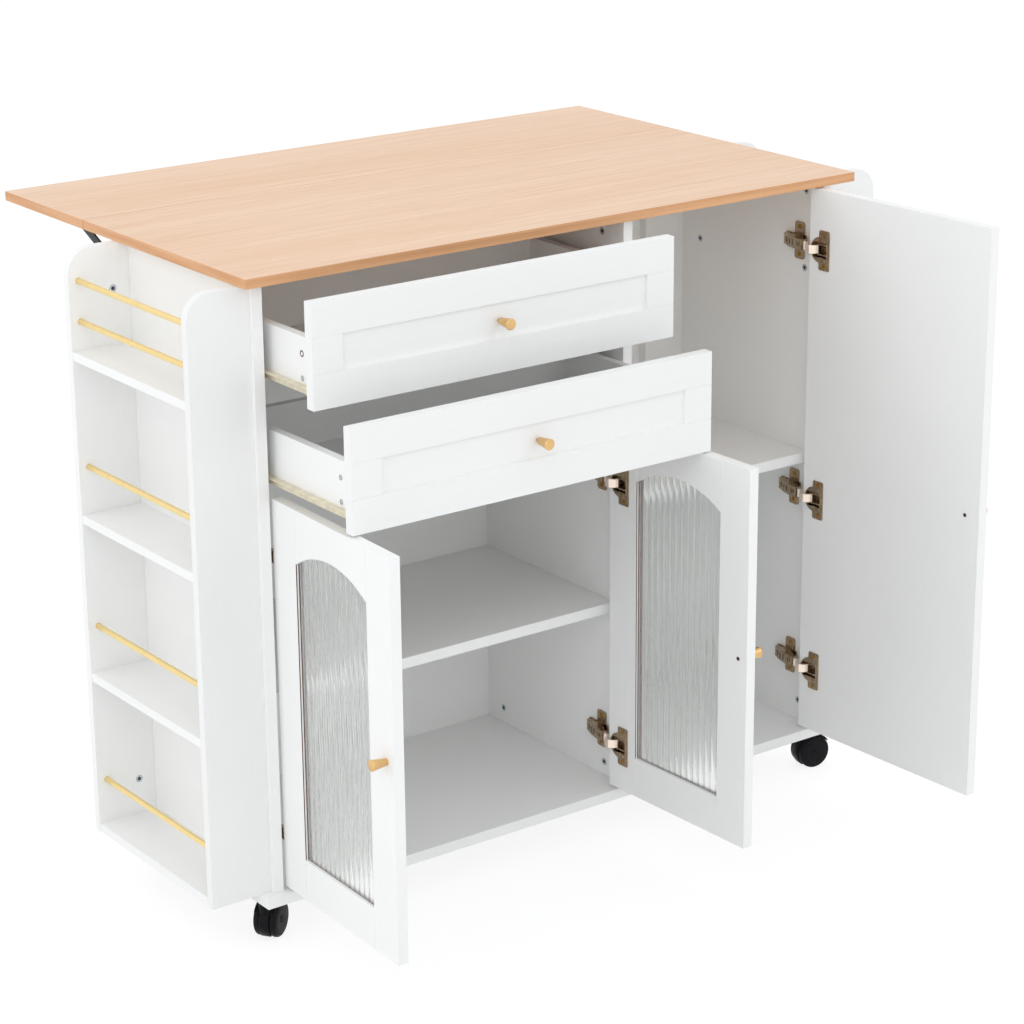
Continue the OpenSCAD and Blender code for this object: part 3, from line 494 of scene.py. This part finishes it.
def pane(door):
    """The pane, ribbed on both faces, and the brown lines along its groove and the opening: raw board,
    darkened with painted shade where the pane sits in its gap.
    """
    b = Build(door.swung)
    wall = SIDE_GAP + STILE
    low, high, foot = wall - PANE_IN, SIDE_GAP + GLASS_W - STILE + PANE_IN, BOTTOM_RAIL - PANE_IN
    steps = RIB_STEPS * round((high - low) / RIB)
    points = []
    for k in range(steps + 1):
        u = low + (high - low) * k / steps
        x = (k / RIB_STEPS) % 1 * 2 - 1
        front, back = PANE_FRONT + RIB_DEEP * x * x, PANE_BACK - RIB_DEEP * x * x
        top = arch_top(u, PANE_IN)
        points += [(u, front, foot), (u, front, top), (u, back, top), (u, back, foot)]
    faces = []
    for k in range(steps):
        a, c = 4 * k, 4 * k + 4
        faces += [(a + i, a + (i + 1) % 4, c + (i + 1) % 4, c + i) for i in range(4)]
    faces += [(0, 1, 2, 3), (4 * steps + 3, 4 * steps + 2, 4 * steps + 1, 4 * steps)]
    b.add(points, faces)
    glass = (door.name + "_glass",)
    obj = b.done(door.name + "_pane", door.name, GLASS, "ribbed_glass", replaces=glass, sharp=12)
    obj.visible_shadow = False
    # Brown lines at the groove and the opening's edges: raw board, darkened as painted shade in the gaps
    # round the pane.
    edge = Build(door.swung)
    for u in (low - 0.5, high + 0.1):
        edge.box((u, PANE_FRONT + 0.1, foot), (u + 0.4, PANE_BACK - 0.1, SPRING))
    for v in (0.4, PANE_FRONT - 1.5, PANE_BACK + 0.1, 13.2):
        edge.box((wall - EDGE_IN, v, BOTTOM_RAIL), (wall + EDGE_OUT, v + 1.4, SPRING))
    for v in (PANE_FRONT - 1.2, PANE_BACK + 0.1):
        far = wall + GLASS_W - 2 * STILE
        edge.box((wall, v, BOTTOM_RAIL - EDGE_IN), (far, v + 1.1, BOTTOM_RAIL + EDGE_OUT))
    edge.done(door.name + "_raw_groove_and_gap_shade", door.name, RAW_BOARD_AND_SHADE, "white_board")


for door in DOORS[:2]:
    pane(door)

# ---- knobs, each with its screw ----

KNOB = (  # (radius, height) from the foot to the slightly hollow face
    (0, 0), (4.5, 0), (4.65, 0.5), (7.2, 20.4), (7.5, 21.4), (7.3, 22.1),
    (6.7, 22.5), (3.2, 22.35), (0, 22.3),
)


def knob(name, body, place, at, node):
    """A tapered knob on a front, and the head of its screw on the back."""
    u, z = at
    b = Build(place)
    b.lathe(KNOB, (u, 0, z), (0, -1, 0), 56)
    b.done(name, body, KNOB_GOLD, "gold_metal", replaces=(node,), sharp=50)
    s = Build(place)
    s.screw((u, BOARD, z), (0, 1, 0), 2.7, 0.7)
    s.done(name + "_screw", body, DARK_SCREW, "screw_steel")


for door in DOORS:
    at = (SIDE_GAP + door.knob[0], door.knob[1])
    knob(door.name + "_pull", door.name, door.swung, at, door.name + "_knob")


def drawn(n):
    """Where a point of drawer n stands, given as shut and from its front's lower edge."""
    return lambda p: to_frame((p[0], p[1] - DRAWER_OUT[n], p[2] + DRAWER_Z[n]))


MIDDLE = BAY_1 + BAY_1_W / 2
for n in (0, 1):
    body = "drawer_%d" % (n + 1)
    knob(body + "_pull", body, drawn(n), (MIDDLE, DRAWER_H / 2), body + "_knob")

# ---- fixings in the drawer sides and the panels ----

SIDE_IN, FIXING_V, LOW_FIXING, HIGH_FIXING = 27.5, 40.0, 31.0, 62.0
SIDES = ((SIDE_IN, -1), (2 * MIDDLE - SIDE_IN, 1))  # each drawer side's outer face and the way it looks
for n, heights in enumerate(((LOW_FIXING,), (LOW_FIXING, HIGH_FIXING))):
    body = "drawer_%d" % (n + 1)
    screws = Build(drawn(n))
    for x, way in SIDES:
        for z in heights:
            screws.screw((x, FIXING_V, z), (way, 0, 0), 3.6, 0.5)
    screws.done(body + "_side_screws", body, ZINC, "screw_steel")
# Each hole: a raw brown rim and a shallow dark disc whose darkness is painted shade for the hole's inside.
hole = Build(drawn(0))
for x, way in SIDES:
    at = (x, FIXING_V, HIGH_FIXING)
    hole.ring(((2.6, -0.6), (2.6, 0.15), (4.2, 0.15), (4.2, -0.6)), at, (way, 0, 0))
    hole.lathe(((0, -0.7), (2.7, -0.7), (2.7, -0.4), (0, -0.4)), at, (way, 0, 0))
hole.done("drawer_1_side_holes", "drawer_1", RAW_BOARD_AND_SHADE, "screw_steel")

# Each connector head: a place on a panel's face and the way that face looks.
PANEL_SCREWS = [((DIVIDER, y, z), (-1, 0, 0)) for y, z in ((46, 869), (282, 103), (40, 100))]
PANEL_SCREWS += [((RIGHT, y, z), (-1, 0, 0)) for y, z in ((34, 878), (34, 767), (264, 767), (26, 111))]
PANEL_SCREWS += [((-25, 304.5, z), (0, -1, 0)) for z in (142, 833)]
heads = Build()
for at, way in PANEL_SCREWS:
    heads.screw(at, way, 2.7, 0.35)
heads.done("panel_screw_heads", "carcass", GUNMETAL, "screw_steel", replaces=("panel_screws",))
rims = Build()
for at, way in PANEL_SCREWS:
    rims.ring(((2.8, -0.8), (2.8, 0.2), (4.0, 0.3), (4.4, 0.1), (4.4, -0.8)), at, way)
rims.done("panel_screw_rims", "carcass", RIM, "screw_steel")
seats = Build()
for at, way in PANEL_SCREWS:
    seats.ring(((4.45, -0.8), (4.45, 0.06), (4.9, 0.06), (4.9, -0.8)), at, way)
seats.done("panel_screw_seats", "carcass", GUNMETAL, "screw_steel")

# ---- concealed hinges ----

CUP_R, CUP_LIP, CUP_STEPS = 17.3, 18.5, 144
PLATE_OUT, PLATE_IN, PLATE_HALF, PLATE_CORNER = 17.9, 2.6, 28.5, 2.5
WELL_R, WELL_HALF, WELL_OUT = 16.6, 10.6, 12.5
FLANGE = 16.0  # the flange's face, over the door's inner face


def line_reach(distance, share):
    """How far away a straight edge is, in a direction that has such a share towards it."""
    return distance / share if share > 1e-6 else math.inf


def cup_outline(t):
    """How far the flange reaches at an angle: the disc round the cup or the tall plate."""
    c, s = abs(math.cos(t)), abs(math.sin(t))
    outer = math.cos(t) > 0
    w, h, r = (PLATE_OUT if outer else PLATE_IN), PLATE_HALF, PLATE_CORNER
    flat = min(line_reach(w, c), line_reach(h, s))
    if flat * c > w - r and flat * s > h - r:
        corner = Vector((w - r, h - r))
        along = corner.dot(Vector((c, s)))
        flat = along + math.sqrt(max(0.0, along * along - corner.length_squared + r * r))
    return flat if outer else max(CUP_LIP, flat)


def well_outline(t):
    """How far the cup's opening reaches at an angle: a disc cut off above, below and outside."""
    return min(WELL_R, line_reach(WELL_HALF, abs(math.sin(t))), line_reach(WELL_OUT, math.cos(t)))


def cup_body(_):
    """How far the round body in the door reaches at any angle."""
    return CUP_R


def hinge_cup(b, screws, z):
    """The cup with its flange, cheeks and the two screws that hold it to the door."""
    u, n = SIDE_GAP + CUP_IN, CUP_STEPS
    plate, well = cup_outline, well_outline
    rings = (  # outline, how much further it reaches, and its place over the door's outer face
        (cup_body, 0, 3.8), (cup_body, 0, 15.05),
        (plate, 0, 15.05), (plate, 0, 15.75), (plate, -0.3, FLANGE),
        (well, 0.9, FLANGE), (well, 0.3, 16.4), (well, 0, FLANGE),
        (well, -0.2, 5.6), (well, -1.2, 4.6), (well, -7, 4.5),
    )
    points = []
    for outline, more, v in rings:
        for t in turn(n):
            reach = outline(t) + more
            points.append((u + reach * math.cos(t), v, z + reach * math.sin(t)))
    faces = [(a * n + k, a * n + (k + 1) % n, (a + 1) * n + (k + 1) % n, (a + 1) * n + k)
             for a in range(len(rings) - 1) for k in range(n)]
    last = (len(rings) - 1) * n
    faces.append(tuple(last + k for k in range(n)))
    faces.append(tuple(range(n - 1, -1, -1)))
    b.add(points, faces)
    for low in (6.3, -8.3):
        outline = ((u - 14, 4.6), (u + 14, 4.6), (u + 14, 9), (u + 9, 13.2), (u - 9, 13.2), (u - 14, 9))
        b.prism(outline, z + low, z + low + 2)
    b.box((u + 16.7, 15.6, z - 25.8), (u + 17.8, 16.8, z + 25.8))
    for way in (-1, 1):
        screws.screw((u + 7.6, FLANGE, z + way * 22.5), (0, 1, 0), 3.2, 0.8)


def strip(path, thick):
    """The outline of a bent strip of even thickness along a path."""
    path = [Vector(p) for p in path]
    left, right = [], []
    for i, p in enumerate(path):
        a = (path[max(i, 1)] - path[max(i, 1) - 1]).normalized()
        c = (path[min(i + 1, len(path) - 1)] - path[min(i, len(path) - 2)]).normalized()
        na, nc = Vector((-a.y, a.x)), Vector((-c.y, c.x))
        m = (na + nc).normalized()
        m = m / m.dot(na)
        left.append(tuple(p + m * thick / 2))
        right.append(tuple(p - m * thick / 2))
    return left + right[::-1]


NOSE_R = 3
PIN = (  # a rivet with a head at each end
    (0, -8.5), (1.9, -8.5), (2.1, -8.1), (2.1, -7.9), (1.2, -7.8),
    (1.2, 7.8), (2.1, 7.9), (2.1, 8.1), (1.9, 8.5), (0, 8.5),
)
CAM = (11.9, 60.5)  # the adjusting cam's place on the arm's sloping back
SLOTS = (30.0, 26.0)


def hinge_arm(b, screws, dark, z):
    """The winged plate on the panel and the channel-shaped arm with its nose."""
    wing = [(y + 44, h + z) for y, h in rounded(20, 54, 4)]
    b.prism(wing, 0.0, 1.8, axis=0)
    tongue = [(y + 51, h + z) for y, h in rounded(42, 18, 2)]
    b.prism(tongue, 0.0, 2.6, axis=0)
    path = ((13.8, 21.2), (18.4, 21.2), (18.4, 34), (14.4, 52), (7.6, 69.5))
    b.prism(strip(path, 1.2), z - 8, z + 8)
    cheek = ((2.6, 42), (9, 28), (13.4, 21), (18.6, 21), (18.6, 34), (14.6, 52), (8, 69), (2.6, 69))
    under = [math.radians(180 + 15 * k) for k in range(13)]
    nose = [(NOSE_U + NOSE_R * math.cos(t), NOSE_V + NOSE_R * math.sin(t)) for t in under]
    nose += [(NOSE_U + NOSE_R, 21.5), (NOSE_U - NOSE_R, 21.5)]
    for low in (6.4, -8.0):
        b.prism(cheek, z + low, z + low + 1.6)
        b.prism(nose, z + low, z + low + 1.6)
    b.lathe(PIN, (NOSE_U, NOSE_V, z), (0, 0, 1), 24)
    for way in (-1, 1):
        screws.screw((1.8, 44, z + way * 20), (1, 0, 0), 3.4, 1.0)
    slope = Vector((17.5, 6.8, 0)).normalized()
    screws.lathe(((0, -1.0), (2.2, -1.0), (2.2, 0.3), (1.8, 0.6), (0, 0.6)), (*CAM, z), slope, 24)
    dark.ring(((2.4, -0.8), (2.4, 0.12), (3.9, 0.12), (3.9, -0.8)), (*CAM, z), slope, 28)
    dark.slab((15.2, 51.0, z), slope, (0, 0, 1), 8.5, 2.6)
    dark.slab((17.2, 42.0, z), Vector((18, 4, 0)).normalized(), (0, 0, 1), 8.5, 2.6)
    for v in SLOTS:
        dark.prism([(v + y, z + h) for y, h in rounded(1.8, 6, 0.8)], 18.5, 19.08, axis=0)


for door in DOORS:
    cups, cup_screws = Build(door.swung), Build(door.swung)
    arms, arm_screws, slots = Build(door.shut), Build(door.shut), Build(door.shut)
    for z in door.hinges:
        hinge_cup(cups, cup_screws, z)
        hinge_arm(arms, arm_screws, slots, z)
    cups.done(door.name + "_cups", door.name, BRONZE, "hinge_steel", replaces=(door.name + "_hinge_cups",))
    cup_screws.done(door.name + "_cup_screws", door.name, BRASSY, "screw_steel")
    arms.done(door.name + "_arms", "carcass", BRONZE, "hinge_steel", bevel=0.25, replaces=("hinge_arms",))
    arm_screws.done(door.name + "_arm_screws", "carcass", BRASSY, "screw_steel")
    slots.done(door.name + "_arm_slots", "carcass", GUNMETAL, "hinge_steel")

# ---- casters: a hood between and over twin discs ----

HOOD_HALF, HOOD_R, HOOD_STEPS = 7.4, 26.4, 96
HOOD_FROM, HOOD_TO = math.radians(-48), math.radians(228)
FENDER_STEPS = 40
FENDERS = [math.radians(34 + 112 * k / FENDER_STEPS) for k in range(FENDER_STEPS + 1)]
FENDER = ((25.6, 7.2), (27.4, 7.2), (27.4, 13.8), (27.0, 14.5), (26.2, 14.6), (25.6, 14.4))
NECK = ((0, 40), (9, 40), (9, 60.4), (8.2, 61.4), (0, 61.4))
DIMPLE_RIM = ((2.0, -2.0), (2.0, 0.0), (2.3, 0.25), (3.0, 0.3), (3.3, 0.0), (3.3, -2.0))


def caster(n):
    """Maps a point given from the floor under caster n's swivel, with x along its trail."""
    x, y, turn = CASTERS[n]
    c, s = math.cos(math.radians(turn)), math.sin(math.radians(turn))
    return lambda p: to_frame((x + p[0] * c - p[1] * s, y + p[0] * s + p[1] * c, p[2]))


def hood(n):
    """The middle body with its dimple, the fenders over the discs and the neck."""
    body = "caster_%d" % (n + 1)
    b = Build(caster(n))
    half, r, count = HOOD_HALF, HOOD_R, HOOD_STEPS
    edge = ((-half, r - 1.1), (-half + 0.35, r - 0.35), (-half + 1.1, r))
    rows = edge + tuple((-y, rr) for y, rr in reversed(edge))
    arc = [HOOD_FROM + (HOOD_TO - HOOD_FROM) * k / count for k in range(count + 1)]
    outline = [(TRAIL + rr * math.cos(t), y, WHEEL_R + rr * math.sin(t)) for t in arc for y, rr in rows]
    m = len(rows)
    faces = [(k * m + i, k * m + i + 1, (k + 1) * m + i + 1, (k + 1) * m + i)
             for k in range(count) for i in range(m - 1)]
    faces.append(tuple(range(m)) + tuple(range(count * m + m - 1, count * m - 1, -1)))
    faces.append(tuple(k * m for k in range(count, -1, -1)))
    faces.append(tuple(k * m + m - 1 for k in range(count + 1)))
    b.add(outline, faces)
    for way in (-1, 1):
        lip = [(rr, way * y) for rr, y in FENDER]
        points = [(TRAIL + rr * math.cos(t), y, WHEEL_R + rr * math.sin(t)) for t in FENDERS for rr, y in lip]
        q, last = len(lip), FENDER_STEPS
        faces = [(k * q + i, k * q + (i + 1) % q, (k + 1) * q + (i + 1) % q, (k + 1) * q + i)
                 for k in range(last) for i in range(q)]
        ends = [tuple(range(q)), tuple(range((last + 1) * q - 1, last * q - 1, -1))]
        b.add(points, faces + ends)
    b.lathe(NECK, (0, 0, 0), (0, 0, 1), 40)
    b.done(body + "_cover", body, HOOD, "caster_plastic", replaces=(body + "_hood",), sharp=40)
    d = Build(caster(n))
    at = (TRAIL - r + 0.1, 0, WHEEL_R - 1)
    d.ring(DIMPLE_RIM, at, (-1, 0, 0), 28)
    d.lathe(((0, -1.2), (2.1, -1.2), (2.1, -0.1), (0, -0.1)), at, (-1, 0, 0), 28)
    d.done(body + "_dimple", body, TREAD, "caster_plastic")


DISC_OUT = 15.4
DISC = (  # (radius, height) from the hub over the face and round the tread to the back
    (0, 1.2), (3.4, 1.2), (3.8, 1.6), (4.4, 1.6), (5.2, 0.6), (14, 0.9), (19.2, 0.7), (20.0, 0.2),
    (20.6, 0.7), (22.2, 0.5), (23.6, -0.4), (24.6, -1.8), (25.0, -3.6), (25.0, -6.6), (24.4, -7.4),
    (12, -7.6), (11.6, -7.7), (0, -7.7),
)


def wheels(n):
    """The twin discs on their axle."""
    body = "caster_%d_wheels" % (n + 1)
    b = Build(caster(n))
    for way in (-1, 1):
        b.lathe(DISC, (TRAIL, way * DISC_OUT, WHEEL_R), (0, way, 0), 72)
    b.done("caster_%d_discs" % (n + 1), body, TREAD, "wheel_plastic", replaces=(body,), sharp=30)


for n in range(4):
    hood(n)
    wheels(n)

# ---- camera, floor and light ----

# The camera as it was solved from the photograph's straight edges.
LENS_MM, SENSOR_MM = 102.635, 36
CAMERA_AT = (-2.2685, -3.1100, 1.7635)
CAMERA_AHEAD, CAMERA_LEVEL = (0.558, 0.7657, -0.3201), (0.8082, -0.5889, 0)
CAMERA_ROLL = math.radians(-0.525)

scene = bpy.context.scene
lens = bpy.data.cameras.new("camera")
lens.sensor_width = SENSOR_MM
lens.lens = LENS_MM
lens.clip_end = 60
view = bpy.data.objects.new("camera", lens)
scene.collection.objects.link(view)
ahead = Vector(CAMERA_AHEAD).normalized()
level = Vector(CAMERA_LEVEL).normalized()
upright = level.cross(ahead)
right = level * math.cos(CAMERA_ROLL) + upright * math.sin(CAMERA_ROLL)
over = upright * math.cos(CAMERA_ROLL) - level * math.sin(CAMERA_ROLL)
axes = Matrix((right, over, -ahead)).transposed().to_4x4()
view.matrix_world = Matrix.Translation(CAMERA_AT) @ axes
scene.camera = view

FLOOR_HALF = 20
FLOOR_PALE, FLOOR_SHADOW, FLOOR_GLOW = 0.86, 0.2, 0.85

floor_mesh = bpy.data.meshes.new("floor")
corners = [(x * FLOOR_HALF, y * FLOOR_HALF, 0) for x, y in ((-1, -1), (1, -1), (1, 1), (-1, 1))]
floor_mesh.from_pydata(corners, [], [(0, 1, 2, 3)])
floor = bpy.data.objects.new("floor", floor_mesh)
scene.collection.objects.link(floor)


def pale_floor():
    """Near white where it is seen, with a soft shadow; plain and pale to the light it bounces."""
    look = Look("pale_floor", Roughness=0.9, IOR=1.3, Base_Color=(FLOOR_PALE, FLOOR_PALE, FLOOR_PALE, 1))
    cloud = look.noise(1.5, detail=2)
    shade = look.node("BsdfDiffuse", {"Color": (FLOOR_SHADOW, FLOOR_SHADOW, FLOOR_SHADOW, 1)})
    tone = look.ramp(cloud, (0.0, 0.995), (1.0, 1.0))
    glow = look.node("Emission", {"Color": tone, "Strength": FLOOR_GLOW})
    white = look.node("AddShader", {0: shade.outputs[0], 1: glow.outputs[0]})
    shaders = {0: look.background_seen(), 1: look.shader.outputs[0], 2: white.outputs[0]}
    mixed = look.node("MixShader", shaders)
    look.tree.links.new(mixed.outputs[0], look.tree.nodes["Material Output"].inputs["Surface"])
    return look.mat


floor.data.materials.append(pale_floor())

# The world lights the object evenly, and is white where the background is seen.
WORLD_TONE, WORLD_LIGHT = (0.96, 0.985, 1.0, 1), 0.90
world = bpy.data.worlds.new("studio")
scene.world = world
world.use_nodes = True
sky = Graph(world.node_tree)
plain = sky.tree.nodes["Background"]
plain.inputs["Color"].default_value = WORLD_TONE
plain.inputs["Strength"].default_value = WORLD_LIGHT
backdrop = sky.node("Background", {"Color": (1, 1, 1, 1), "Strength": 1.0})
pick = sky.node("MixShader", {0: sky.background_seen(), 1: plain.outputs[0], 2: backdrop.outputs[0]})
sky.tree.links.new(pick.outputs[0], sky.tree.nodes["World Output"].inputs["Surface"])


LAMP_SIZE = 2.2
LAMP_AIM = Vector((0, 0, 0.5))


def softbox(name, at, watts, colour):
    """A square area lamp at a place, facing the object."""
    lamp = bpy.data.lights.new(name, "AREA")
    lamp.shape = "RECTANGLE"
    lamp.size = lamp.size_y = LAMP_SIZE
    lamp.energy = watts
    lamp.color = colour
    obj = bpy.data.objects.new(name, lamp)
    scene.collection.objects.link(obj)
    obj.location = at
    obj.rotation_euler = (LAMP_AIM - Vector(at)).to_track_quat("-Z", "Y").to_euler()


LAMPS = (  # name, place in metres, watts and colour
    ("left", (-4.0, -0.8, 1.2), 12, (1.0, 0.97, 1.0)),
    ("front_left", (-3.0, -3.0, 1.2), 3, (1.0, 0.98, 0.96)),
    ("high_left", (-2.2, -2.4, 3.2), 13, (0.96, 0.98, 1.0)),
    ("front", (0.0, -4.2, 1.6), 6, (1.0, 0.98, 0.96)),
    ("high_right", (1.8, -2.6, 3.2), 11, (1.0, 1.0, 1.0)),
    ("high_back", (-2.4, 1.6, 3.0), 9, (1.0, 0.98, 0.98)),
)
for lamp in LAMPS:
    softbox(*lamp)

scene.view_settings.view_transform = "Standard"
